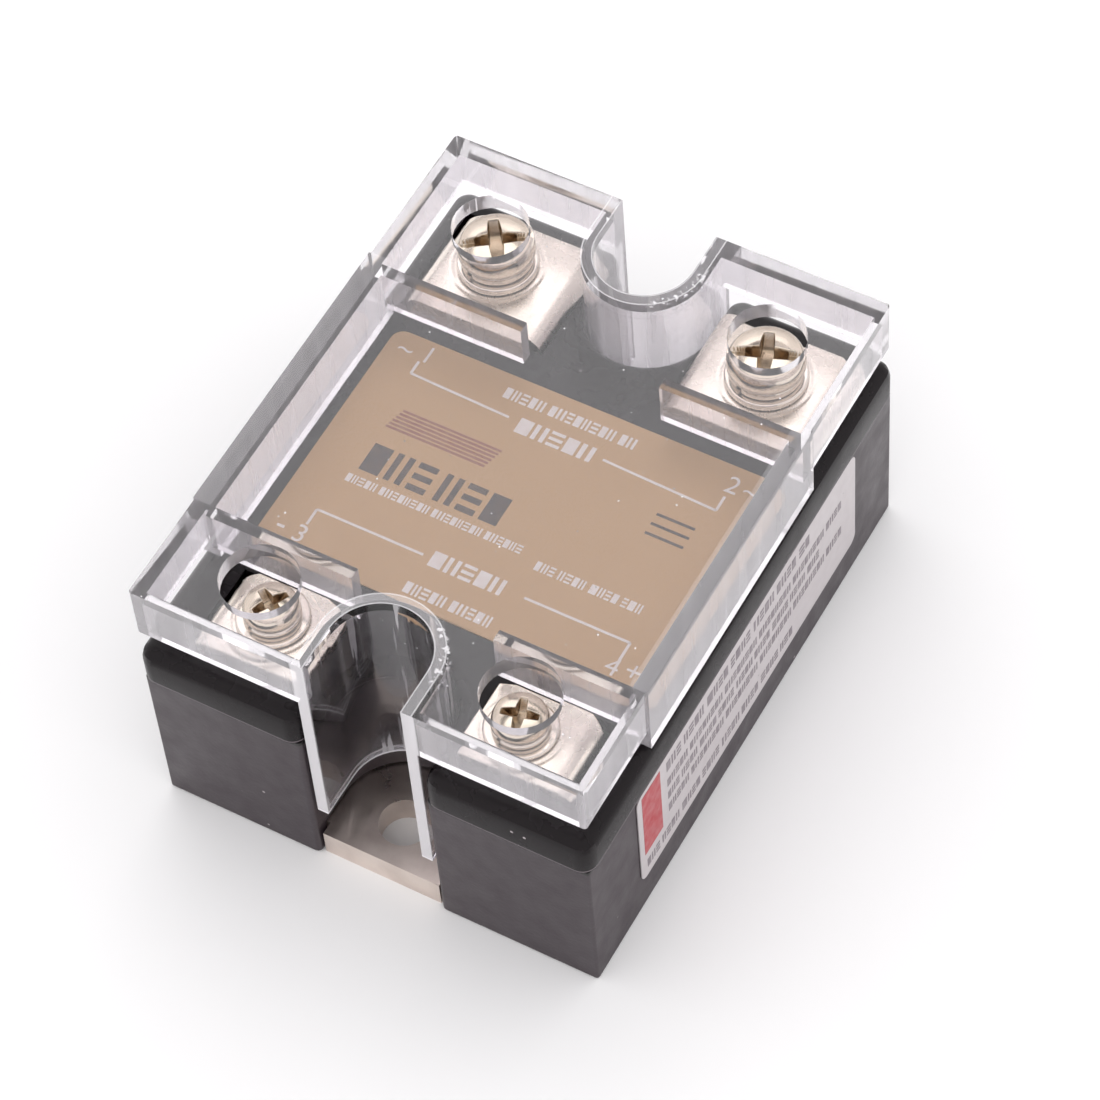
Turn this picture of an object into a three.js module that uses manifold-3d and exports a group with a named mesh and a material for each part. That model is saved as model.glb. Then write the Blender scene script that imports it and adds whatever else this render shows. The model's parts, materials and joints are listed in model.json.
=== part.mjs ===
// Panel-mount solid state relay with its clear safety cover, in millimetres, +Z up.
// The origin is the bottom centre of the metal base plate. +Y points to the load end,
// -Y to the input end and +X to the side that carries the rating sticker.
import * as THREE from 'three';
import { mergeVertices } from 'three/addons/utils/BufferGeometryUtils.js';
import Module from 'manifold-3d';

const wasm = await Module();
wasm.setup();

// ---- driving dimensions -------------------------------------------------------------
const HALF_WIDTH = 22.3;
const HALF_LENGTH = 28.8;
const NOTCH_CENTRE = 24;
const NOTCH_HALF = 6.3;
const WALL = 1.4;
const GAP = 0.05;
const FIT = 0.2;

const PLATE_TOP = 3;
const HOLE_RADIUS = 2.4;
const HOUSING_BOTTOM = 0.2;
const SEAM = 18.2;
const LID_TOP = 22.3;
const LID_OVERHANG = 0.3;
const LID_SHOULDER = 1.3;
const LID_SKIN = 1.6;

const COVER_TOP = 31;
const COVER_SKIN = 1.8;
const COVER_HALF_X = 22.25;
const COVER_HALF_Y = 28.5;
const COVER_WALL = 1.0;
const COVER_END_WALL = 1.2;
const BLOCK_BOTTOM = 25;
const RAIL_HALF_X = 22.45;
const RAIL_INNER_X = 20.65;
const RAIL_Y = [-17.45, 13.0];
const BARRIER = 1.15;
const BARRIER_BOTTOM = 24.5;
const SKIRT_INNER = 4.8;
const SKIRT_OUTER = 5.9;
const SKIRT_BOTTOM = 7.5;
const ACCESS_RADIUS = 3.6;

const STRIP = 1.0;
const FOLD_RADIUS = 1.6;
const BOARD_BOTTOM = 12;
const BOARD_TOP = 13.6;
const SUBSTRATE_TOP = 3.7;
const PAD_TOP = 4.05;

// Two sizes of terminal screw, each with its own captive washers.
const M3 = {
  shank: 1.45, length: 8, head: 2.55, rise: 1.9, washer: 3.35, washerHeight: 0.5,
  spring: 2.6, springHeight: 0.75, recess: 1.55, recessDepth: 1.3, slot: 0,
};
const M4 = {
  shank: 1.95, length: 10, head: 3.6, rise: 2.5, washer: 3.85, washerHeight: 0.8,
  spring: 3.4, springHeight: 1.1, recess: 2.25, recessDepth: 1.6, slot: 0.9,
};

// Each terminal: free end and folded end along X, its width along Y, its screw and access hole.
const TERMINALS = [
  { name: 'load_1', side: -1, free: 6.4, fold: 20.4, y: [15.2, 26.6], legBottom: 5.5,
    screw: [-14.4, 21.6], access: [-14.1, 20.5], size: M4, lip: true },
  { name: 'load_2', side: 1, free: 6.4, fold: 20.4, y: [15.0, 26.1], legBottom: 5.5,
    screw: [13.65, 21.0], access: [14.1, 20.5], size: M4, lip: true },
  { name: 'input_3', side: -1, free: 7.9, fold: 18.1, y: [-25.2, -17.5], legBottom: 13.7,
    screw: [-12.7, -21.5], access: [-12.85, -22.2], size: M3, lip: false },
  { name: 'input_4', side: 1, free: 7.9, fold: 18.5, y: [-25.2, -17.5], legBottom: 13.7,
    screw: [12.2, -21.7], access: [12.85, -22.2], size: M3, lip: false },
];

// ---- materials ----------------------------------------------------------------------
const finish = (color, roughness, metalness) => () =>
  new THREE.MeshStandardMaterial({ color, roughness, metalness });
const blackPlastic = finish(0x1b1719, 0.45, 0);
const clearPlastic = finish(0xe9e4ec, 0.05, 0);
const nickel = finish(0xd8cfc2, 0.25, 1);
const satinPlate = finish(0xb9b1ad, 0.3, 1);
const tanLabel = finish(0xc2a58c, 0.5, 0);
const silverLabel = finish(0xcfcccb, 0.4, 0);
const ceramicWhite = finish(0xf0eee8, 0.5, 0);
const copper = finish(0xb87444, 0.35, 1);
const silicon = finish(0x3a3d45, 0.3, 0.6);
const boardGreen = finish(0x1f5a36, 0.45, 0);
const chipBlack = finish(0x141414, 0.5, 0);
const resistorBlue = finish(0x6d9bb0, 0.5, 0);
const capacitorYellow = finish(0xc9a227, 0.45, 0);
const resinGrey = finish(0x55585c, 0.6, 0);

// ---- geometry helpers ---------------------------------------------------------------
// A closed outline of right-angled corners [x, y, radius]; a radius of 0 stays sharp.
// A quarter turn gets more steps the larger its radius.
function outline(corners) {
  const points = corners.map(([x, y]) => new THREE.Vector2(x, y));
  const path = [];
  corners.forEach(([, , radius], i) => {
    const here = points[i];
    if (radius === 0) {
      path.push(here);
      return;
    }
    const back = points[(i + corners.length - 1) % corners.length].clone().sub(here).normalize();
    const ahead = points[(i + 1) % corners.length].clone().sub(here).normalize();
    const centre = here.clone().addScaledVector(back, radius).addScaledVector(ahead, radius);
    const steps = radius < 1 ? 3 : Math.ceil(3 + radius * 1.6);
    for (let k = 0; k <= steps; k += 1) {
      const turn = (k / steps) * (Math.PI / 2);
      path.push(centre.clone()
        .addScaledVector(ahead, -radius * Math.cos(turn))
        .addScaledVector(back, -radius * Math.sin(turn)));
    }
  });
  return new THREE.Shape(path);
}

const rectangle = (x0, x1, y0, y1, radius = 0) =>
  outline([[x0, y0, radius], [x1, y0, radius], [x1, y1, radius], [x0, y1, radius]]);

// A rectangle with a round-ended mounting notch in the middle of both ends.
function notchedRectangle(halfX, halfY, notchHalf, corner, mouth) {
  const apex = NOTCH_CENTRE - notchHalf;
  const round = notchHalf - 0.001;
  return outline([
    [-halfX, -halfY, corner], [-notchHalf, -halfY, mouth], [-notchHalf, -apex, round],
    [notchHalf, -apex, round], [notchHalf, -halfY, mouth], [halfX, -halfY, corner],
    [halfX, halfY, corner], [notchHalf, halfY, mouth], [notchHalf, apex, round],
    [-notchHalf, apex, round], [-notchHalf, halfY, mouth], [-halfX, halfY, corner],
  ]);
}

const slab = (shape, z0, z1) =>
  new THREE.ExtrudeGeometry(shape, { depth: z1 - z0, bevelEnabled: false }).translate(0, 0, z0);

// The range from a to b on one side of the X axis, lowest value first.
const span = (side, a, b) => [a * side, b * side].sort((p, q) => p - q);

const block = (x, y, z) => new THREE.BoxGeometry(x[1] - x[0], y[1] - y[0], z[1] - z[0])
  .translate((x[0] + x[1]) / 2, (y[0] + y[1]) / 2, (z[0] + z[1]) / 2);

const rod = (x, y, radius, z0, z1, segments = 24) =>
  new THREE.CylinderGeometry(radius, radius, z1 - z0, segments)
    .rotateX(Math.PI / 2).translate(x, y, (z0 + z1) / 2);

// A profile drawn in X and Z, given its thickness along Y.
const profileAlongY = (shape, y0, y1) =>
  new THREE.ExtrudeGeometry(shape, { depth: y1 - y0, bevelEnabled: false })
    .rotateX(Math.PI / 2).translate(0, y1, 0);

// A ring about the Z axis through [x, y].
function ring(x, y, inner, outer, z0, z1, segments = 32) {
  const profile = [[inner, z0], [outer, z0], [outer, z1], [inner, z1], [inner, z0]]
    .map(([r, z]) => new THREE.Vector2(r, z));
  return new THREE.LatheGeometry(profile, segments).rotateX(Math.PI / 2).translate(x, y, 0);
}

function solid(geometry) {
  const bare = geometry.index ? geometry.toNonIndexed() : geometry.clone();
  bare.deleteAttribute('normal');
  bare.deleteAttribute('uv');
  const merged = mergeVertices(bare, 1e-4);
  return new wasm.Manifold(new wasm.Mesh({
    numProp: 3,
    vertProperties: merged.attributes.position.array,
    triVerts: Uint32Array.from(merged.index.array),
  }));
}

const join = (...geometries) => geometries.map(solid).reduce((a, b) => a.add(b));
const cut = (body, ...tools) => tools.map(solid).reduce((a, b) => a.subtract(b), body);

function toGeometry(manifold) {
  const mesh = manifold.getMesh();
  const geometry = new THREE.BufferGeometry();
  geometry.setAttribute('position', new THREE.BufferAttribute(mesh.vertProperties, 3));
  geometry.setIndex(new THREE.BufferAttribute(mesh.triVerts, 1));
  return geometry;
}

const relay = new THREE.Group();

function add(name, shape, material) {
  const geometry = shape.isBufferGeometry ? shape : toGeometry(shape);
  const mesh = new THREE.Mesh(geometry, material());
  mesh.name = name;
  relay.add(mesh);
}

// ---- base plate ---------------------------------------------------------------------
// Fills the bottom of the housing and reaches into both notches; round hole at the input
// end, slot at the load end.
function basePlate() {
  const tongue = NOTCH_HALF - 0.3;
  const slotHalf = 0.8;
  const body = join(
    slab(rectangle(-20.5, 20.5, -27, 27, 0.6), 0, PLATE_TOP),
    block([-tongue, tongue], [-28.3, 28.3], [0, PLATE_TOP]),
  );
  const slot = rectangle(
    -HOLE_RADIUS, HOLE_RADIUS,
    NOTCH_CENTRE - slotHalf - HOLE_RADIUS, NOTCH_CENTRE + slotHalf + HOLE_RADIUS,
    HOLE_RADIUS - 0.001,
  );
  return cut(body,
    rod(0, -NOTCH_CENTRE, HOLE_RADIUS, -1, PLATE_TOP + 1, 40),
    slab(slot, -1, PLATE_TOP + 1),
  );
}
add('base_plate', basePlate(), satinPlate);

// ---- housing ------------------------------------------------------------------------
const INNER_X = HALF_WIDTH - WALL;
const INNER_Y = HALF_LENGTH - WALL;
const INNER_NOTCH = NOTCH_HALF + 1.3;

function housing() {
  const shell = solid(slab(notchedRectangle(HALF_WIDTH, HALF_LENGTH, NOTCH_HALF, 0.3, 0.5),
    HOUSING_BOTTOM, SEAM));
  return cut(shell,
    slab(notchedRectangle(INNER_X, INNER_Y, INNER_NOTCH, 0.6, 0.4), PLATE_TOP + FIT, SEAM + 1),
    slab(rectangle(-INNER_X + FIT, INNER_X - FIT, -INNER_Y + FIT, INNER_Y - FIT, 0.4),
      HOUSING_BOTTOM - 1, PLATE_TOP + FIT + 0.1),
  );
}
add('housing_shell', housing(), blackPlastic);

// ---- lid ----------------------------------------------------------------------------
// The top edge is rolled over; a rim under the lid drops inside the housing wall.
const LID_HOLLOW = [INNER_X - 1.2, INNER_Y - 1.2, INNER_NOTCH + 1.2];

function lidCap() {
  const shape = notchedRectangle(
    HALF_WIDTH + LID_OVERHANG, HALF_LENGTH + LID_OVERHANG, NOTCH_HALF - 0.1, 1.5, 1.5);
  const depth = LID_TOP - SEAM;
  const geometry = new THREE.ExtrudeGeometry(shape, {
    depth, bevelEnabled: true, bevelSegments: 3,
    bevelSize: LID_SHOULDER, bevelThickness: LID_SHOULDER, bevelOffset: -LID_SHOULDER,
  });
  geometry.translate(0, 0, LID_TOP - depth - LID_SHOULDER);
  return cut(solid(geometry), block([-30, 30], [-35, 35], [0, SEAM + GAP]));
}

function lid() {
  const rim = slab(notchedRectangle(INNER_X - FIT, INNER_Y - FIT, INNER_NOTCH + FIT, 0.4, 0.4),
    SEAM - 1, SEAM + 0.5);
  const hollow = slab(notchedRectangle(...LID_HOLLOW, 0.4, 0.4), SEAM - 2, LID_TOP - LID_SKIN);
  const openings = TERMINALS.flatMap(({ side, free, fold, y, screw, size, lip }) => {
    const legSlot = span(side, fold - FOLD_RADIUS - 0.3, fold + 0.3);
    const wide = [y[0] - 0.3, y[1] + 0.3];
    const cuts = [
      block(legSlot, wide, [SEAM - 2, LID_TOP + 1]),
      rod(...screw, size.shank + 0.5, SEAM - 2, LID_TOP + 1),
    ];
    if (lip) {
      const groove = span(side, free - 0.3, free + FOLD_RADIUS + 0.3);
      cuts.push(block(groove, wide, [LID_TOP - 0.8, LID_TOP + 1]));
    }
    return cuts;
  });
  return cut(lidCap().add(solid(rim)), hollow, ...openings);
}
add('lid', lid(), blackPlastic);

// ---- clear safety cover -------------------------------------------------------------
// Outline of a notch lining: a straight mouth that runs out past |y| = mouth, a round end.
const arch = (half, mouth, end) => outline([
  [-half, mouth * end, 0], [half, mouth * end, 0],
  [half, (NOTCH_CENTRE - half) * end, half - 0.001],
  [-half, (NOTCH_CENTRE - half) * end, half - 0.001],
]);

// A flat top with two notches; shallow walls around each terminal block, deeper rails
// beside the label, partition walls, and a skirt that lines each mounting notch.
function cover() {
  const under = COVER_TOP - COVER_SKIN;
  const shell = solid(slab(
    rectangle(-COVER_HALF_X, COVER_HALF_X, -COVER_HALF_Y, COVER_HALF_Y, 0.3), BLOCK_BOTTOM, COVER_TOP));
  const innerX = COVER_HALF_X - COVER_WALL;
  const innerY = COVER_HALF_Y - COVER_END_WALL;
  let body = cut(shell, block([-innerX, innerX], [-innerY, innerY], [BLOCK_BOTTOM - 1, under]));
  for (const side of [-1, 1]) {
    const free = side < 0 ? 6.2 : 7.8;
    const root = RAIL_INNER_X + 0.3;
    body = body.add(join(
      block(span(side, RAIL_INNER_X, RAIL_HALF_X), RAIL_Y, [LID_TOP + GAP, COVER_TOP]),
      block(span(side, free, root), [RAIL_Y[1] - BARRIER, RAIL_Y[1]], [BARRIER_BOTTOM, under + 0.5]),
      block(span(side, free, root), [RAIL_Y[0] - 0.6, RAIL_Y[0] - 0.6 + BARRIER],
        [BARRIER_BOTTOM, under + 0.5]),
    ));
  }
  for (const end of [-1, 1]) {
    body = body.add(solid(slab(arch(SKIRT_OUTER, COVER_HALF_Y, end), SKIRT_BOTTOM, COVER_TOP)));
    body = cut(body, slab(arch(SKIRT_INNER, COVER_HALF_Y + 2, end), SKIRT_BOTTOM - 1, COVER_TOP + 1));
  }
  return cut(body, ...TERMINALS.map(({ access }) => rod(...access, ACCESS_RADIUS, under - 1, COVER_TOP + 1, 36)));
}
add('clear_cover', cover(), clearPlastic);

// ---- labels -------------------------------------------------------------------------
add('face_label', slab(rectangle(-19.4, 19.4, -14.45, 11.6, 1.2), LID_TOP + GAP, LID_TOP + 0.2), tanLabel);

const stickerOutline = rectangle(-20.5, 21.2, 4.4, 17.8, 1);
add('side_label',
  slab(stickerOutline, 0, 0.1).rotateX(Math.PI / 2).rotateZ(Math.PI / 2).translate(HALF_WIDTH + GAP, 0, 0),
  silverLabel);

// ---- terminals ----------------------------------------------------------------------
const STRIP_TOP = LID_TOP + GAP + STRIP;

// Section of the folded strip: a flat pad with a leg at its folded end and, on the load
// terminals, a short lip at its free end.
function stripProfile({ side, free, fold, legBottom, lip }) {
  const bottom = STRIP_TOP - STRIP;
  const lipBottom = LID_TOP - 0.6;
  const inner = FOLD_RADIUS - STRIP;
  const leg = [[fold - STRIP, bottom, inner], [fold - STRIP, legBottom, 0], [fold, legBottom, 0],
    [fold, STRIP_TOP, FOLD_RADIUS]];
  const end = lip
    ? [[free, STRIP_TOP, FOLD_RADIUS], [free, lipBottom, 0], [free + STRIP, lipBottom, 0],
      [free + STRIP, bottom, inner]]
    : [[free, STRIP_TOP, 0], [free, bottom, 0]];
  const corners = [...leg, ...end];
  return outline(side > 0 ? corners : corners.map(([x, z, r]) => [-x, z, r]).reverse());
}

// Takes the corner at [x, y] off a strip that lies inward of it: across along X, deep along Y.
function cornerCut(x, y, outward, across, deep) {
  const points = [[-across, 1], [-across, 0], [0, -deep], [1, -deep], [1, 1]];
  const shape = new THREE.Shape(points.map(([u, v]) => new THREE.Vector2(x + u * outward, y + v)));
  return slab(shape, 0, STRIP_TOP + 1);
}

for (const terminal of TERMINALS) {
  const { name, screw, y, size, side, free, fold, lip } = terminal;
  const bar = solid(profileAlongY(stripProfile(terminal), ...y));
  const tools = [
    rod(...screw, size.shank + 0.15, LID_TOP - 1, STRIP_TOP + 1),
    cornerCut(fold * side, y[1], side, 1.6, 0.9),
  ];
  if (!lip) tools.push(cornerCut(free * side, y[1], -side, 1.4, 0.5));
  add(`terminal_${name}`, cut(bar, ...tools), nickel);
}

// ---- terminal screws and their washers ----------------------------------------------
// Pan head: the side runs up 0.4 of the height, then the crown rolls in to the axis.
function screwBody({ shank, length, head, rise }) {
  const profile = [[0, -length], [shank - 0.4, -length], [shank, -length + 0.5], [shank, 0], [head, 0]];
  const steps = 6;
  for (let k = 0; k <= steps; k += 1) {
    const angle = (k / steps) * (Math.PI / 2);
    const radius = k === steps ? 0 : head * Math.cos(angle) ** 0.7;
    profile.push([radius, rise * (0.4 + 0.6 * Math.sin(angle) ** 0.9)]);
  }
  const points = profile.map(([r, z]) => new THREE.Vector2(r, z));
  return new THREE.LatheGeometry(points, 32).rotateX(Math.PI / 2);
}

// Cross recess: two tapering wings, and on the larger screws a shallow slot as well.
function screwRecess({ head, rise, recess, recessDepth, slot }) {
  const wing = new THREE.Shape([
    new THREE.Vector2(-recess * 0.45, rise - recessDepth),
    new THREE.Vector2(recess * 0.45, rise - recessDepth),
    new THREE.Vector2(recess, rise + 0.2),
    new THREE.Vector2(-recess, rise + 0.2),
  ]);
  const half = recess * 0.2;
  const along = profileAlongY(wing, -half, half);
  const cuts = [along, along.clone().rotateZ(Math.PI / 2)];
  if (slot > 0) cuts.push(block([-head - 1, head + 1], [-half, half], [rise - slot, rise + 1]));
  return cuts;
}

const turns = { load_1: 35, load_2: 20, input_3: 60, input_4: 15 };
for (const { name, screw, size } of TERMINALS) {
  const hole = size.shank + 0.15;
  const washerTop = STRIP_TOP + GAP + size.washerHeight;
  const springTop = washerTop + GAP + size.springHeight;
  add(`flat_washer_${name}`, ring(...screw, hole, size.washer, STRIP_TOP + GAP, washerTop), nickel);
  const gap = block([hole - 0.3, size.spring + 1], [-0.25, 0.25], [-1, size.springHeight + 1])
    .rotateX(0.35).rotateZ(THREE.MathUtils.degToRad(-110)).translate(...screw, washerTop + GAP);
  add(`spring_washer_${name}`,
    cut(solid(ring(...screw, hole, size.spring, washerTop + GAP, springTop)), gap), nickel);
  const body = cut(solid(screwBody(size)), ...screwRecess(size));
  const geometry = toGeometry(body)
    .rotateZ(THREE.MathUtils.degToRad(turns[name])).translate(...screw, springTop + GAP);
  add(`screw_${name}`, geometry, nickel);
}

// ---- power stage --------------------------------------------------------------------
add('ceramic_substrate', block([-19.6, 19.6], [-9, 15.8], [PLATE_TOP + GAP, SUBSTRATE_TOP]), ceramicWhite);

const STRAP_X = [13.3, 17.3];
for (const [index, side] of [[1, -1], [2, 1]]) {
  add(`copper_pad_${index}`, block(span(side, 1, 18.5), [-8, 14.8], [SUBSTRATE_TOP + GAP, PAD_TOP]), copper);
  add(`thyristor_${index}`, block(span(side, 4, 12), [-5, 3], [PAD_TOP + GAP, PAD_TOP + 0.45]), silicon);
  const foot = block(span(side, ...STRAP_X), [8, 20.4], [PAD_TOP + GAP, PAD_TOP + 0.8]);
  const riser = block(span(side, ...STRAP_X), [19.6, 20.4], [PAD_TOP + 0.5, 11]);
  add(`load_strap_${index}`, join(foot, riser), copper);
  add(`gate_lead_${index}`, rod(10 * side, 1, 0.4, PAD_TOP + 0.6, BOARD_BOTTOM - GAP, 12), copper);
}

function potting() {
  const body = solid(slab(
    notchedRectangle(INNER_X - FIT, INNER_Y - FIT, INNER_NOTCH + FIT, 0.4, 0.4), 5.2, 11.6));
  const clearings = [-1, 1].flatMap((side) => [
    block(span(side, STRAP_X[0] - 0.3, STRAP_X[1] + 0.2), [19.3, 20.7], [4, 12]),
    block(span(side, 19.1, INNER_X), [14.7, 27], [4, 12]),
    rod(10 * side, 1, 0.7, 4, 12, 12),
  ]);
  return cut(body, ...clearings);
}
add('potting_resin', potting(), resinGrey);

// ---- control board ------------------------------------------------------------------
function board() {
  const body = solid(slab(rectangle(-19.3, 19.3, -24, 13, 0.5), BOARD_BOTTOM, BOARD_TOP));
  return cut(body, block([-9.2, 9.2], [-25, -14.6], [BOARD_BOTTOM - 1, BOARD_TOP + 1]));
}
add('circuit_board', board(), boardGreen);

const ON_BOARD = BOARD_TOP + GAP;
add('optocoupler', slab(rectangle(-4.3, 4.3, -10, -3.5, 0.3), ON_BOARD, ON_BOARD + 3.4), chipBlack);
add('control_ic', slab(rectangle(-13.5, -8.5, -9, -5, 0.2), ON_BOARD, ON_BOARD + 1.6), chipBlack);
add('snubber_capacitor', slab(rectangle(5.5, 16.5, 4, 8.5, 0.4), ON_BOARD, ON_BOARD + 5.6), capacitorYellow);

// Axial resistor lying along X: a waisted body with domed caps.
function resistor(x, y, length, radius) {
  const half = length / 2;
  const profile = [
    [0, -half], [radius * 0.7, -half], [radius, -half + radius * 0.4], [radius, -half * 0.55],
    [radius * 0.85, -half * 0.4], [radius * 0.85, half * 0.4], [radius, half * 0.55],
    [radius, half - radius * 0.4], [radius * 0.7, half], [0, half],
  ].map(([r, z]) => new THREE.Vector2(r, z));
  return new THREE.LatheGeometry(profile, 16).rotateZ(-Math.PI / 2)
    .translate(x, y, ON_BOARD + radius);
}
const RESISTORS = [[-12, -13.5], [12, -13.5], [12, -9.5], [-12, 1]];
RESISTORS.forEach(([x, y], i) => add(`resistor_${i + 1}`, resistor(x, y, 6.3, 1.15), resistorBlue));
add('snubber_resistor', resistor(-8, 7, 11, 2), resistorBlue);

export default relay;
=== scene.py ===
import json
import math

import bmesh
import bpy
import numpy as np
from mathutils import Matrix, Vector

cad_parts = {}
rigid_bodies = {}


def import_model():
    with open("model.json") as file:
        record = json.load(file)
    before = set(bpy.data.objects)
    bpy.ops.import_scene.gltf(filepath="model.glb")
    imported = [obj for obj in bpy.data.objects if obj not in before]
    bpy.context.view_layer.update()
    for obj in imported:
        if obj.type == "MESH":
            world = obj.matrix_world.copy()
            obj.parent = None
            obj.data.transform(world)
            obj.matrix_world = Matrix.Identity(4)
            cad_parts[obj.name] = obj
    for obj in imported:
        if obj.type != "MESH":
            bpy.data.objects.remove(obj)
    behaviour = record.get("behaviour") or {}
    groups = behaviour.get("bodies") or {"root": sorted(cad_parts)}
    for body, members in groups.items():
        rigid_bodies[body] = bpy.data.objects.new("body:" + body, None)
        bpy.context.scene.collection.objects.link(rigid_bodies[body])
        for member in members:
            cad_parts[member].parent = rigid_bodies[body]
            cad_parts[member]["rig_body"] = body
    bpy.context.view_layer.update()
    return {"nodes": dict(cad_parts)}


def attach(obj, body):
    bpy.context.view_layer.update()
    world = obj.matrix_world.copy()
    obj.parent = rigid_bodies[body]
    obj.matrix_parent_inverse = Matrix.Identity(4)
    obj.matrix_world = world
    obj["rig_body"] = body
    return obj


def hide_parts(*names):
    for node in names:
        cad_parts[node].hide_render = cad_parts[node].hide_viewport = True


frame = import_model()
MM = 0.001
LABEL_TOP = 22.5
STICKER_FACE = 22.45
STRIP_TOP = 23.35
GAP = 0.05
NOTCH_CENTRE = 24.0
scene = bpy.context.scene

# Washer and head sizes of the two screws, in millimetres.
M3 = {"bore": 1.6, "washer": 3.35, "washer_height": 0.5, "spring": 2.6, "spring_height": 0.75,
      "head": 2.55, "rise": 1.9, "shank": 1.45, "length": 8.0, "wing": 1.85, "wing_half": 0.46,
      "depth": 1.35, "slot": 0.0}
M4 = {"bore": 2.1, "washer": 3.85, "washer_height": 0.8, "spring": 3.4, "spring_height": 1.1,
      "head": 3.6, "rise": 2.5, "shank": 1.95, "length": 10.0, "wing": 2.6, "wing_half": 0.62,
      "depth": 1.9, "slot": 0.95}
# Each terminal: its screw position and size, and how far the recess has turned, in degrees.
SCREWS = {
    "load_1": (-14.4, 21.6, M4, 35),
    "load_2": (13.65, 21.0, M4, 20),
    "input_3": (-12.7, -21.5, M3, 60),
    "input_4": (12.2, -21.7, M3, 15),
}


# ---- materials ----------------------------------------------------------------------
class Finish:
    """A Principled finish with helpers that wire procedural detail in Object coordinates."""

    def __init__(self, name, **sockets):
        self.material = bpy.data.materials.new(name)
        self.material.use_nodes = True
        self.tree = self.material.node_tree
        self.shader = self.tree.nodes["Principled BSDF"]
        self.place = self.tree.nodes.new("ShaderNodeTexCoord").outputs["Object"]
        for socket, value in sockets.items():
            self.shader.inputs[socket.replace("_", " ")].default_value = value

    def node(self, kind, inputs=(), **settings):
        """A new node with its settings, and its inputs given as values or as links."""
        made = self.tree.nodes.new(kind)
        for key, value in settings.items():
            setattr(made, key, value)
        for key, value in dict(inputs).items():
            if isinstance(value, bpy.types.NodeSocket):
                self.tree.links.new(value, made.inputs[key])
            else:
                made.inputs[key].default_value = value
        return made

    def stretched(self, scale):
        """Object coordinates scaled along each axis."""
        return self.node("ShaderNodeMapping", {"Vector": self.place, "Scale": scale}).outputs[0]

    def axes(self):
        """The X, Y and Z of the Object coordinates, in millimetres."""
        parts = self.node("ShaderNodeSeparateXYZ", {0: self.place}).outputs
        return [self.math("MULTIPLY", part, 1000.0) for part in parts]

    def noise(self, scale, detail=3.0, where=None):
        where = where or self.place
        return self.node("ShaderNodeTexNoise", {
            "Vector": where, "Scale": scale, "Detail": detail}).outputs[0]

    def cells(self, scale):
        return self.node("ShaderNodeTexVoronoi", {"Vector": self.place, "Scale": scale}).outputs[0]

    def ramp(self, value, low, high, start=0.0, end=1.0):
        """The value carried from the range low..high to start..end, and held at its ends."""
        return self.node("ShaderNodeMapRange", {
            0: value, 1: low, 2: high, 3: start, 4: end}, clamp=True).outputs[0]

    def math(self, operation, a, b=0.0):
        return self.node("ShaderNodeMath", {0: a, 1: b}, operation=operation).outputs[0]

    def mix(self, factor, a, b):
        return self.node("ShaderNodeMix", {0: factor, 6: a, 7: b}, data_type="RGBA").outputs[2]

    def band(self, value, centre, half, soft):
        """One inside centre plus or minus half, falling to zero over the soft width."""
        away = self.math("ABSOLUTE", self.math("SUBTRACT", value, centre))
        return self.ramp(away, half, half + soft, 1.0, 0.0)

    def specks(self, scale, size, share):
        """Small round specks on a share of the surface that a slow noise picks."""
        dots = self.ramp(self.cells(scale), size * 0.6, size, 1.0, 0.0)
        return self.math("MULTIPLY", dots, self.ramp(self.noise(scale * 0.5, 2), share, share + 0.05))

    def into(self, socket, value):
        self.tree.links.new(value, self.shader.inputs[socket])

    def bump(self, height, strength, distance):
        made = self.node("ShaderNodeBump", {
            "Height": height, "Strength": strength, "Distance": distance})
        self.tree.links.new(made.outputs[0], self.shader.inputs["Normal"])


def rgb(r, g, b):
    return (r, g, b, 1.0)


def black_moulding(name, low, high, sheen, gloss, grain_strength, edge, painted_light_tone):
    """Black moulding: fine grain, faint flow mottling and pale dust specks. The band (height, half
    width) takes its own tone: a painted highlight along a lower edge, or painted shade under an
    overhang."""
    f = Finish(name, Specular_IOR_Level=sheen)
    dust = f.specks(520, 0.10, 0.60)
    tone = f.mix(f.noise(90, 3), rgb(*low), rgb(*high))
    # Painted light: the band's tone is a painted highlight on the lid's lower edge, and painted shade on
    # the case just under the lid.
    tone = f.mix(f.band(f.axes()[2], edge[0], edge[1], 0.06), tone, rgb(*painted_light_tone))
    f.into("Base Color", f.mix(dust, tone, rgb(0.42, 0.38, 0.39)))
    f.into("Roughness", f.ramp(f.noise(420, 3), 0.3, 0.7, gloss, gloss + 0.13))
    f.bump(f.noise(2600, 4), grain_strength, 0.00006)
    return f.material


def notch_reach(f, x, y):
    """Distance from the middle line of the nearer mounting notch."""
    past = f.math("MAXIMUM", f.math("SUBTRACT", NOTCH_CENTRE, f.math("ABSOLUTE", y)), 0.0)
    return f.math("SQRT", f.math("ADD", f.math("MULTIPLY", x, x), f.math("MULTIPLY", past, past)))


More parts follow.
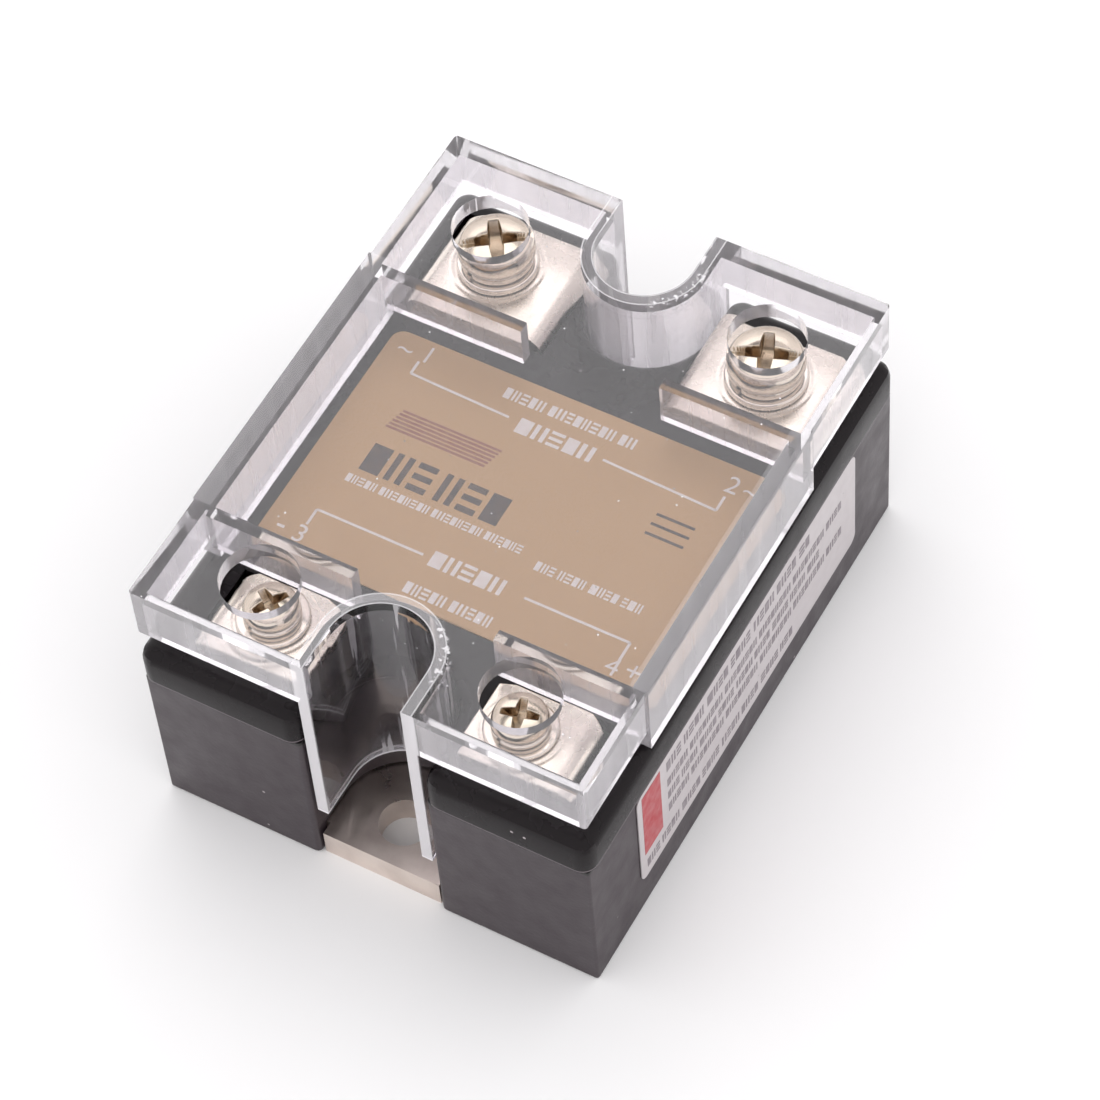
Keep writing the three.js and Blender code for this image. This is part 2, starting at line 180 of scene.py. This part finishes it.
def clear_top():
    """Clear moulding of the flat faces: bright rims round each notch lining, torn gate marks on
    its +X flank, hairline scratches and settled dust."""
    f = Finish("clear_top", IOR=1.5, Roughness=0.0)
    x, y, _ = f.axes()
    reach = notch_reach(f, x, y)
    lining = f.math("MULTIPLY", f.ramp(reach, 5.85, 6.0, 1.0, 0.0), f.ramp(y, -15, 15, 0.22, 0.10))
    torn = f.ramp(f.noise(1900, 4), 0.53, 0.60, 0.0, 0.7)
    flank = f.math("MULTIPLY", f.band(reach, 5.75, 0.3, 0.25), f.ramp(x, 2.6, 3.4))
    flank = f.math("MULTIPLY", flank, f.ramp(f.math("ABSOLUTE", y), 24.5, 25.5, 1.0, 0.0))
    lining = f.math("MAXIMUM", lining, f.math("MULTIPLY", flank, torn))
    rims = f.math("MAXIMUM", f.band(reach, 5.84, 0.04, 0.05), f.band(reach, 4.87, 0.04, 0.05))
    wide = f.math("ABSOLUTE", x)
    rail = f.math("MULTIPLY", f.ramp(wide, 20.6, 20.7, 0.0, 0.12), f.band(y, -2.2, 15.2, 0.2))
    dust = f.specks(760, 0.085, 0.56)
    hairs = f.ramp(f.noise(700, 2, f.stretched((9.0, 1.0, 1.0))), 0.74, 0.78, 0.0, 0.12)
    milky = f.math("MAXIMUM", f.math("MAXIMUM", lining, f.math("MULTIPLY", rims, 0.5)), rail)
    milky = f.math("MAXIMUM", milky, f.math("MAXIMUM", f.math("MULTIPLY", dust, 0.75), hairs))
    f.into("Transmission Weight", f.math("SUBTRACT", 1.0, milky))
    f.shader.inputs["Base Color"].default_value = rgb(0.975, 0.955, 0.98)
    f.bump(f.noise(160, 2), 0.05, 0.0002)
    return f.material


def clear_side():
    """Clear moulding of the upright faces: a little milky on the outer walls, clearer on the
    input end notch lining, with vertical draw marks that are heaviest on each +X flank."""
    f = Finish("clear_side", IOR=1.5)
    x, y, z = f.axes()
    draw = f.noise(520, 4, f.stretched((1.0, 1.0, 0.07)))
    lining = f.ramp(notch_reach(f, x, y), 6.0, 6.3, 1.0, 0.0)
    near = f.math("MULTIPLY", lining, f.ramp(y, -15.0, 15.0, 1.0, 0.0))
    near = f.math("MULTIPLY", near, f.ramp(y, -28.4, -28.2))
    clearness = f.math("SUBTRACT", 1.0, f.math("MULTIPLY", near, 0.93))
    haze = f.math("MULTIPLY", f.ramp(draw, 0.3, 0.7, 0.18, 0.3), clearness)
    scored = f.math("MULTIPLY", f.ramp(draw, 0.56, 0.64, 0.0, 0.6), f.ramp(x, 3.4, 4.6))
    rounded = f.ramp(f.math("ABSOLUTE", y), 24.0, 25.0, 1.0, 0.0)
    scored = f.math("MULTIPLY", f.math("MULTIPLY", scored, lining), rounded)
    streaks = f.math("MULTIPLY", f.ramp(draw, 0.585, 0.61, 0.0, 0.42), lining)
    foot = f.math("MULTIPLY", f.ramp(z, 7.7, 7.85, 0.85, 0.0), lining)
    end = f.math("MULTIPLY", f.ramp(y, -28.42, -28.3, 0.62, 0.0), lining)
    scored = f.math("MAXIMUM", f.math("MAXIMUM", scored, end), f.math("MAXIMUM", streaks, foot))
    dust = f.specks(900, 0.08, 0.58)
    haze = f.math("MAXIMUM", f.math("MAXIMUM", haze, scored), f.math("MULTIPLY", dust, 0.7))
    f.into("Transmission Weight", f.math("SUBTRACT", 1.0, haze))
    f.into("Roughness", f.math("MULTIPLY", f.ramp(draw, 0.4, 0.7, 0.02, 0.12), clearness))
    f.shader.inputs["Base Color"].default_value = rgb(0.965, 0.94, 0.97)
    f.bump(draw, 0.06, 0.0002)
    return f.material


def spot_reach(f, x, y, spot):
    """Distance from the upright axis through a spot."""
    dx = f.math("SUBTRACT", x, spot[0])
    dy = f.math("SUBTRACT", y, spot[1])
    return f.math("SQRT", f.math("ADD", f.math("MULTIPLY", dx, dx), f.math("MULTIPLY", dy, dy)))


def nickel_plating(name, tint, low, high, centre=None, recess=None, joints=()):
    """Warm nickel plating: soft mottling and fine rolling lines. A centre (x, y, radius) adds a faint
    pressed ring, a recess (x, y, radius, height) gets painted shade on what lies inside and below, and a
    dark band at each joint height stands for grime and painted shade between the parts."""
    f = Finish(name, Metallic=1.0)
    dark = rgb(*(0.90 * c for c in tint))
    tone = f.mix(f.ramp(f.noise(240, 3), 0.35, 0.65), dark, rgb(*tint))
    if recess:
        x, y, z = f.axes()
        # Painted shade in the driver recess: a dark brown tone inside its radius and below its top.
        inside = f.ramp(spot_reach(f, x, y, recess), recess[2] - 0.3, recess[2], 1.0, 0.0)
        recess_shade = f.math("MULTIPLY", inside, f.ramp(z, recess[3] - 0.9, recess[3] - 0.3, 1.0, 0.0))
        tone = f.mix(recess_shade, tone, rgb(0.47, 0.37, 0.27))
    # A dark band at each joint height: part grime, part painted shade between the stacked parts.
    for joint in joints:
        tone = f.mix(f.band(f.axes()[2], joint, 0.06, 0.09), tone, rgb(0.13, 0.095, 0.07))
    f.into("Base Color", tone)
    f.into("Roughness", f.ramp(f.noise(900, 3), 0.3, 0.7, low, high))
    lines = f.noise(900, 3, f.stretched((1.0, 9.0, 1.0)))
    height = f.math("MULTIPLY", lines, 0.1)
    if centre:
        x, y, _ = f.axes()
        height = f.math("SUBTRACT", height, f.band(spot_reach(f, x, y, centre), centre[2], 0.05, 0.22))
    f.bump(height, 0.35, 0.00008)
    return f.material


def base_plating():
    """Satin plated base plate: cloudy, with a fine grain and small dark marks."""
    f = Finish("base_plating", Metallic=0.95)
    cloud = f.noise(240, 4)
    marks = f.specks(700, 0.12, 0.56)
    tone = f.mix(f.ramp(cloud, 0.35, 0.65), rgb(0.64, 0.55, 0.50), rgb(0.80, 0.71, 0.65))
    f.into("Base Color", f.mix(marks, tone, rgb(0.36, 0.31, 0.29)))
    f.into("Roughness", f.ramp(cloud, 0.3, 0.7, 0.24, 0.36))
    f.bump(f.noise(1800, 3), 0.2, 0.00004)
    return f.material


def tan_film():
    """Bronze tinted label film with a fine metallic grain and handling marks."""
    f = Finish("tan_film", Metallic=0.1)
    grain = f.noise(5200, 2)
    cloud = f.noise(130, 3)
    base = f.mix(cloud, rgb(0.50, 0.305, 0.135), rgb(0.56, 0.345, 0.16))
    f.into("Base Color", f.mix(f.ramp(grain, 0.35, 0.65), base, rgb(0.62, 0.395, 0.195)))
    f.into("Roughness", f.ramp(cloud, 0.3, 0.7, 0.38, 0.5))
    f.bump(grain, 0.1, 0.00002)
    return f.material


def silver_film():
    """Pale silver label film with soft sheen and faint creases."""
    f = Finish("silver_film", Metallic=0.2)
    cloud = f.noise(150, 3)
    tone = f.mix(cloud, rgb(0.50, 0.46, 0.47), rgb(0.60, 0.56, 0.57))
    f.into("Base Color", f.mix(f.specks(900, 0.09, 0.56), tone, rgb(0.25, 0.22, 0.23)))
    f.into("Roughness", f.ramp(f.noise(900, 2), 0.3, 0.7, 0.3, 0.42))
    f.bump(cloud, 0.1, 0.0001)
    return f.material


def ink(name, under, tone, worn):
    """Screen printed ink, thin in places so that the film under it shows."""
    f = Finish(name)
    patchy = f.ramp(f.noise(1400, 4), 0.35, 0.65, 1.0 - worn, 1.0)
    f.into("Base Color", f.mix(patchy, rgb(*under), rgb(*tone)))
    f.into("Roughness", f.ramp(f.noise(900, 2), 0.3, 0.7, 0.4, 0.55))
    return f.material


TAN = (0.55, 0.345, 0.165)
PALE = (0.55, 0.51, 0.52)
# The band at 18.1 mm is painted shade on the case under the lid's overhang.
black = black_moulding("black_moulding", (0.034, 0.024, 0.030), (0.038, 0.027, 0.033), 0.5, 0.36, 0.3,
                       (18.1, 0.25), (0.004, 0.003, 0.003))
# The band at 18.42 mm is a painted highlight along the lid's lower edge.
lid_black = black_moulding("lid_moulding", (0.006, 0.004, 0.005), (0.009, 0.006, 0.007), 0.19, 0.2, 0.05,
                           (18.42, 0.05), (0.13, 0.11, 0.12))
clear = clear_top()
clear_wall = clear_side()
base_metal = base_plating()
tan = tan_film()
silver = silver_film()
white_ink = ink("white_ink", TAN, (0.90, 0.84, 0.80), 0.15)
dark_ink = ink("dark_ink", TAN, (0.045, 0.030, 0.030), 0.10)
red_ink = ink("red_ink", TAN, (0.33, 0.11, 0.08), 0.25)
grey_ink = ink("grey_ink", PALE, (0.20, 0.17, 0.19), 0.25)
crimson_ink = ink("crimson_ink", PALE, (0.42, 0.035, 0.045), 0.15)


# ---- pieces -------------------------------------------------------------------------
def placed(piece, node):
    """Shown in place of a fixed node, moving with that node's body."""
    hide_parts(node)
    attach(piece, frame["nodes"][node]["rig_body"])


def rolled_edges(node, name, width, materials, segments=3):
    """A copy of a fixed node with its loose triangles merged, its flats made whole faces and
    every edge sharper than 30 degrees rolled over by the width. A second material goes on the
    faces that stand upright."""
    mesh = frame["nodes"][node].data.copy()
    mesh.name = name
    form = bmesh.new()
    form.from_mesh(mesh)
    bmesh.ops.remove_doubles(form, verts=form.verts, dist=2e-6)
    bmesh.ops.dissolve_limit(form, angle_limit=math.radians(0.6),
                             verts=form.verts, edges=form.edges)
    mesh.materials.clear()
    for material in materials:
        mesh.materials.append(material)
    for face in form.faces:
        face.smooth = True
        face.material_index = int(len(materials) > 1 and abs(face.normal.z) < 0.5)
    form.to_mesh(mesh)
    form.free()
    if "custom_normal" in mesh.attributes:
        mesh.attributes.remove(mesh.attributes["custom_normal"])
    piece = bpy.data.objects.new(name, mesh)
    scene.collection.objects.link(piece)
    edge = piece.modifiers.new("rolled_edge", "BEVEL")
    edge.width = width
    edge.segments = segments
    edge.limit_method = "ANGLE"
    edge.angle_limit = math.radians(30)
    edge.harden_normals = True
    edge.miter_outer = "MITER_ARC"
    placed(piece, node)


def surface(name, points, faces, material):
    """A smooth shaded mesh object from an array of points in millimetres and its faces."""
    mesh = bpy.data.meshes.new(name)
    mesh.from_pydata((np.asarray(points, float) * MM).tolist(), [], faces)
    mesh.materials.append(material)
    mesh.polygons.foreach_set("use_smooth", [True] * len(mesh.polygons))
    piece = bpy.data.objects.new(name, mesh)
    scene.collection.objects.link(piece)
    return piece


def turned(name, rings, material):
    """A closed body from rings of points: rings is an array (ring, step, xyz) that starts and
    ends in a pole, so each pole becomes one point and the rest is a grid of quads."""
    count, steps = rings.shape[:2]
    points = np.concatenate([rings[0, :1], rings[1:-1].reshape(-1, 3), rings[-1, :1]])
    step = np.arange(steps)
    after = (step + 1) % steps
    faces = [(0, 1 + a, 1 + b) for a, b in zip(step, after)]
    for ring in range(count - 3):
        low = 1 + ring * steps
        high = low + steps
        faces += [(low + a, high + a, high + b, low + b) for a, b in zip(step, after)]
    last = 1 + (count - 3) * steps
    faces += [(last + a, len(points) - 1, last + b) for a, b in zip(step, after)]
    return surface(name, points, faces, material)


def smooth_step(value, low, high):
    t = np.clip((value - low) / (high - low), 0, 1)
    return t * t * (3 - 2 * t)


def pan_screw(name, x, y, size, turn, base, material):
    """A pan head screw. The crown falls gently with the square of the radius and faster with its
    sixth power, and the rim is a quarter ellipse. The driver recess is pressed into the crown
    on the axis. The grid carries on down the side, under the head and along the shank."""
    steps = 288
    angle = np.linspace(0, 2 * math.pi, steps, endpoint=False)
    head, rise = size["head"], size["rise"]
    inner = np.linspace(0.0, head * 0.86, 74)
    roll = np.linspace(0, math.pi / 2, 12)[1:]
    radius = np.concatenate([inner, head * 0.86 + head * 0.14 * np.sin(roll)])
    crown = rise * (1 - 0.16 * (inner / head) ** 2 - 0.10 * (inner / head) ** 6)
    rim = crown[-1] - (crown[-1] - rise * 0.36) * (1 - np.cos(roll))
    height = np.concatenate([crown, rim])
    u = radius[:, None] * np.cos(angle)
    v = radius[:, None] * np.sin(angle)
    z = np.repeat(height[:, None], steps, axis=1)
    for along, across in ((u, v), (v, u)):
        half = size["wing_half"] * (1.25 - 0.35 * np.clip(np.abs(along) / size["wing"], 0, 1))
        side = 1 - smooth_step(np.abs(across), half - 0.14, half + 0.10)
        reach = 1 - smooth_step(np.abs(along), size["wing"] * 0.35, size["wing"])
        z = np.minimum(z, rise - size["depth"] * side * reach ** 0.6 + 3 * (1 - side))
    if size["slot"]:
        half = size["wing_half"] * 0.92
        side = 1 - smooth_step(np.abs(v), half - 0.07, half + 0.07)
        z = np.minimum(z, rise - size["slot"] * side + 3 * (1 - side))
        z = np.maximum(z, rise * 0.3)
    top = np.stack([u, v, z], axis=2)
    shank, length = size["shank"], size["length"]
    lower = [(head, 0.08), (head - 0.1, 0.0), (shank + 0.1, 0.0), (shank, -0.1),
             (shank, -length + 0.6), (shank - 0.45, -length), (0.0, -length)]
    below = np.array([[(r * math.cos(a), r * math.sin(a), h) for a in angle] for r, h in lower])
    rings = np.concatenate([top, below])
    spin = math.radians(turn)
    c, s = math.cos(spin), math.sin(spin)
    rings = np.stack([rings[..., 0] * c - rings[..., 1] * s + x,
                      rings[..., 0] * s + rings[..., 1] * c + y,
                      rings[..., 2] + base], axis=2)
    return turned(name, rings, material)


def rounded_box_section(inner, outer, low, high, corner):
    """Points (radius, height) once round a rectangle with quarter round corners."""
    middles = ((outer - corner, high - corner, 0), (inner + corner, high - corner, 1),
               (inner + corner, low + corner, 2), (outer - corner, low + corner, 3))
    section = []
    for r, h, quarter in middles:
        for k in range(5):
            a = (quarter + k / 4) * math.pi / 2
            section.append((r + corner * math.cos(a), h + corner * math.sin(a)))
    return np.array(section)


def swept_ring(name, x, y, section, material, start=0.0, sweep=360.0, lift=0.0):
    """A section carried round the axis through (x, y). A sweep short of a full turn leaves a
    split, its ends closed by flat faces and parted by the lift."""
    full = sweep >= 360.0
    steps = 128
    share = np.linspace(0, 1, steps, endpoint=not full)
    angle = np.radians(start + sweep * share)
    points = np.empty((steps, len(section), 3))
    points[..., 0] = x + section[:, 0] * np.cos(angle)[:, None]
    points[..., 1] = y + section[:, 0] * np.sin(angle)[:, None]
    points[..., 2] = section[:, 1] + lift * share[:, None]
    sides = len(section)
    faces = []
    for k in range(steps if full else steps - 1):
        a, b = k * sides, ((k + 1) % steps) * sides
        faces += [(a + i, b + i, b + (i + 1) % sides, a + (i + 1) % sides) for i in range(sides)]
    if not full:
        faces.append(tuple(range(sides)))
        faces.append(tuple(reversed(range((steps - 1) * sides, steps * sides))))
    piece = surface(name, points.reshape(-1, 3), faces, material)
    outward(piece)
    return piece


def outward(piece):
    """Turns every face of a closed mesh to look outward."""
    form = bmesh.new()
    form.from_mesh(piece.data)
    bmesh.ops.recalc_face_normals(form, faces=form.faces)
    form.to_mesh(piece.data)
    form.free()


rolled_edges("housing_shell", "case", 0.2 * MM, [black])
rolled_edges("lid", "case_lid", 0.28 * MM, [lid_black])
rolled_edges("clear_cover", "safety_cover", 0.18 * MM, [clear, clear_wall], 2)
rolled_edges("base_plate", "base", 0.25 * MM, [base_metal])
for name, (x, y, size, turn) in SCREWS.items():
    plate = nickel_plating(f"plate_plating_{name}", (0.82, 0.745, 0.66), 0.22, 0.32,
                           (x, y, size["washer"] + 0.45))
    rolled_edges(f"terminal_{name}", f"terminal_plate_{name}", 0.15 * MM, [plate])
    low = STRIP_TOP + GAP
    high = low + size["washer_height"]
    flat_metal = nickel_plating(f"flat_washer_plating_{name}", (0.80, 0.72, 0.63), 0.12, 0.22,
                                joints=(low,))
    split_metal = nickel_plating(f"lock_washer_plating_{name}", (0.74, 0.66, 0.57), 0.12, 0.22,
                                 joints=(high + GAP, high + GAP + size["spring_height"]))
    flat = swept_ring(f"plain_washer_{name}", x, y,
                      rounded_box_section(size["bore"], size["washer"], low, high, 0.2), flat_metal)
    placed(flat, f"flat_washer_{name}")
    low = high + GAP
    high = low + size["spring_height"]
    split = swept_ring(f"lock_washer_{name}", x, y,
                       rounded_box_section(size["bore"], size["spring"], low, high - 0.1, 0.28),
                       split_metal, start=-104, sweep=348, lift=0.1)
    placed(split, f"spring_washer_{name}")
    head = nickel_plating(f"screw_plating_{name}", (0.78, 0.69, 0.58), 0.14, 0.24,
                          recess=(x, y, size["wing"] + 0.3, high + GAP + size["rise"]),
                          joints=(high + GAP,))
    screw = pan_screw(f"pan_screw_{name}", x, y, size, turn, high + GAP, head)
    outward(screw)
    placed(screw, f"screw_{name}")

for node, material in (("face_label", tan), ("side_label", silver)):
    film = frame["nodes"][node].data
    film.materials.clear()
    film.materials.append(material)


# ---- printing -----------------------------------------------------------------------
class Print:
    """Flat ink marks gathered into one thin mesh. Marks are drawn in (across, up) millimetres
    and laid on the face label, or on the side sticker where across is +Y and up is +Z."""

    def __init__(self, name, material, sticker=False):
        self.name, self.material, self.sticker = name, material, sticker
        self.points, self.faces = [], []

    def shape(self, corners):
        """A closed prism 0.02 mm thick from the corners of a convex outline."""
        first, count = len(self.points), len(corners)
        for level in (0.004, 0.024):
            for a, b in corners:
                if self.sticker:
                    self.points.append((STICKER_FACE + level, a, b))
                else:
                    self.points.append((a, b, LABEL_TOP + level))
        self.faces.append([first + i for i in reversed(range(count))])
        self.faces.append([first + count + i for i in range(count)])
        for i in range(count):
            j = (i + 1) % count
            self.faces.append([first + i, first + j, first + count + j, first + count + i])

    def bar(self, a0, a1, b0, b1, lean=0.0):
        self.shape([(a0, b0), (a1, b0), (a1 + lean, b1), (a0 + lean, b1)])

    def row(self, a0, a1, b0, b1, widths, lean=0.0):
        """Letter sized blocks in place of words. The widths repeat: a positive one is a block, a
        negative one a space. Place in the row picks a solid block, two uprights or three bars."""
        unit = b1 - b0
        a, k = a0, 0
        while True:
            width = widths[k % len(widths)] * unit
            if a + abs(width) > a1:
                return
            if width > 0:
                stem = width * 0.34
                if k % 3 == 1:
                    self.bar(a, a + stem, b0, b1, lean)
                    self.bar(a + width - stem, a + width, b0, b1, lean)
                elif k % 3 == 2:
                    for level in (0.0, 0.4, 0.8):
                        self.bar(a, a + width, b0 + level * unit, b0 + (level + 0.2) * unit, lean * 0.2)
                else:
                    self.bar(a, a + width, b0, b1, lean)
                a += width + unit * 0.17
            else:
                a -= width
            k += 1

    def finish(self):
        piece = surface(self.name, self.points, self.faces, self.material)
        piece.data.polygons.foreach_set("use_smooth", [False] * len(piece.data.polygons))
        outward(piece)
        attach(piece, "relay")


def numeral(name, sign, across, up, height, material):
    """A number or polarity sign as a thin closed mesh, centred on a place on the face label."""
    text = bpy.data.curves.new(name, "FONT")
    text.body = sign
    text.size = height * 1.4 * MM
    text.align_x = "CENTER"
    text.align_y = "CENTER"
    text.extrude = 0.01 * MM
    text.resolution_u = 4
    maker = bpy.data.objects.new(name + "_curve", text)
    scene.collection.objects.link(maker)
    bpy.context.view_layer.update()
    mesh = bpy.data.meshes.new_from_object(maker.evaluated_get(bpy.context.evaluated_depsgraph_get()))
    bpy.data.objects.remove(maker)
    bpy.data.curves.remove(text)
    mesh.transform(Matrix.Translation(Vector((across, up, LABEL_TOP + 0.014)) * MM))
    mesh.name = name
    mesh.materials.clear()
    mesh.materials.append(material)
    piece = bpy.data.objects.new(name, mesh)
    scene.collection.objects.link(piece)
    form = bmesh.new()
    form.from_mesh(mesh)
    bmesh.ops.remove_doubles(form, verts=form.verts, dist=1e-7)
    bmesh.ops.recalc_face_normals(form, faces=form.faces)
    form.to_mesh(mesh)
    form.free()
    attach(piece, "relay")


for name, sign, across, up, height in (
        ("number_1", "1", -15.25, 10.0, 1.9), ("wave_1", "~", -17.5, 9.8, 1.9),
        ("number_2", "2", 16.2, 9.5, 1.9), ("wave_2", "~", 18.0, 9.6, 1.9),
        ("number_3", "3", -15.6, -12.3, 1.9), ("minus_3", "-", -17.6, -12.0, 2.2),
        ("number_4", "4", 15.8, -12.2, 1.9), ("plus_4", "+", 17.7, -11.9, 2.0)):
    numeral(name, sign, across, up, height, white_ink)

LETTERS = (0.55, 0.5, 0.6, 0.5, 0.55, -0.3, 0.5, 0.62, 0.5)
FIGURES = (0.5, 0.5, 0.55, -0.25, 0.5, 0.6, 0.5, 0.5, -0.35, 0.7)
pale = Print("label_print_pale", white_ink)
LINE = 0.13
for left, right, a, b in ((-15.7, -5.3, 7.6, 7.25), (4.5, 16.1, 6.9, 6.5)):
    pale.shape([(left, a - LINE), (right, b - LINE), (right, b + LINE), (left, a + LINE)])
for left, right, level in ((-15.6, -4.7, -9.27), (5.5, 16.0, -9.27)):
    pale.bar(left, right, level - LINE, level + LINE)
pale.bar(-15.83, -15.57, 7.6, 9.1)
pale.bar(15.97, 16.23, 6.5, 8.2)
pale.bar(-15.73, -15.47, -11.1, -9.27)
pale.bar(15.87, 16.13, -11.3, -9.27)
pale.row(-4.2, 3.6, 6.05, 7.75, (0.8, 0.75, 0.8, 0.7))
pale.row(-7.0, 6.9, 9.0, 10.2, LETTERS)
pale.row(-3.9, 4.9, -10.1, -8.4, (0.75, 0.7, 0.75, 0.7, 0.7))
pale.row(-4.5, 4.6, -13.5, -12.3, LETTERS)
pale.row(4.7, 15.9, -6.3, -5.3, FIGURES)
pale.row(-15.1, 3.2, -5.4, -4.5, LETTERS)
pale.finish()

bold = Print("label_print_dark", dark_ink)
bold.row(-14.6, 0.6, -3.75, -0.6, (0.62, 0.55, 0.6, -0.12, 0.55, 0.6, 0.58, -0.12, 0.6))
bold.finish()

badge = Print("label_print_badge", red_ink)
for k in range(6):
    level = 1.4 + k * 0.42
    badge.bar(-14.8 + k * 0.12, -4.6 + k * 0.12, level, level + 0.24)
badge.finish()

mark = Print("label_print_mark", dark_ink)
for level in (1.5, 2.6, 3.7):
    mark.bar(11.6, 15.4, level, level + 0.28)
mark.finish()

block = Print("sticker_print_block", crimson_ink, sticker=True)
block.bar(-19.7, -16.4, 8.0, 17.2)
block.finish()
lines = Print("sticker_print_lines", grey_ink, sticker=True)
lines.row(-15.2, 12.5, 15.3, 16.7, FIGURES)
lines.row(-15.2, 18.5, 12.9, 14.0, LETTERS)
lines.row(-15.2, 14.0, 10.9, 12.0, FIGURES)
lines.row(-15.2, 19.0, 8.9, 10.0, LETTERS)
lines.row(-19.4, 9.0, 5.6, 6.8, FIGURES)
lines.finish()

# ---- floor, light and camera --------------------------------------------------------
floor_mesh = bpy.data.meshes.new("floor")
floor_mesh.from_pydata([(-3, -3, 0), (3, -3, 0), (3, 3, 0), (-3, 3, 0)], [], [(0, 1, 2, 3)])
floor = bpy.data.objects.new("floor", floor_mesh)
scene.collection.objects.link(floor)
paper = Finish("floor_paper", Base_Color=rgb(0.92, 0.92, 0.92), Roughness=0.9)
floor_mesh.materials.append(paper.material)

world = bpy.data.worlds.new("studio")
scene.world = world
world.use_nodes = True
world.node_tree.nodes["Background"].inputs[0].default_value = rgb(1.0, 0.985, 0.995)
world.node_tree.nodes["Background"].inputs[1].default_value = 1.16


def soft_panel(name, place, target, size, power):
    """A soft square light at a place, facing a target."""
    light = bpy.data.lights.new(name, "AREA")
    light.shape = "SQUARE"
    light.size = size
    light.energy = power
    lamp = bpy.data.objects.new(name, light)
    lamp.location = place
    lamp.rotation_euler = (Vector(target) - Vector(place)).to_track_quat("-Z", "Y").to_euler()
    scene.collection.objects.link(lamp)


soft_panel("back_softbox", (-0.45, 0.68, 1.16), (0, 0, 0.02), 0.9, 1.8)

camera_data = bpy.data.cameras.new("camera")
camera_data.sensor_width = 36
camera_data.lens = 143.3
camera_data.clip_start = 0.01
camera = bpy.data.objects.new("camera", camera_data)
scene.collection.objects.link(camera)
AZIMUTH = math.radians(33.45)
ELEVATION = math.radians(54.93)
ROLL = math.radians(-5.51)
DISTANCE = 0.39864
LOOK_AT = Vector((0.00069, 0.00278, 0.012))
backward = Vector((math.sin(AZIMUTH) * math.cos(ELEVATION),
                   -math.cos(AZIMUTH) * math.cos(ELEVATION), math.sin(ELEVATION)))
level = Vector((math.cos(AZIMUTH), math.sin(AZIMUTH), 0))
upward = backward.cross(level)
right = level * math.cos(ROLL) + upward * math.sin(ROLL)
up = upward * math.cos(ROLL) - level * math.sin(ROLL)
turn = Matrix((right, up, backward)).transposed().to_4x4()
camera.matrix_world = Matrix.Translation(LOOK_AT + backward * DISTANCE) @ turn
scene.camera = camera
scene.view_settings.view_transform = "Standard"
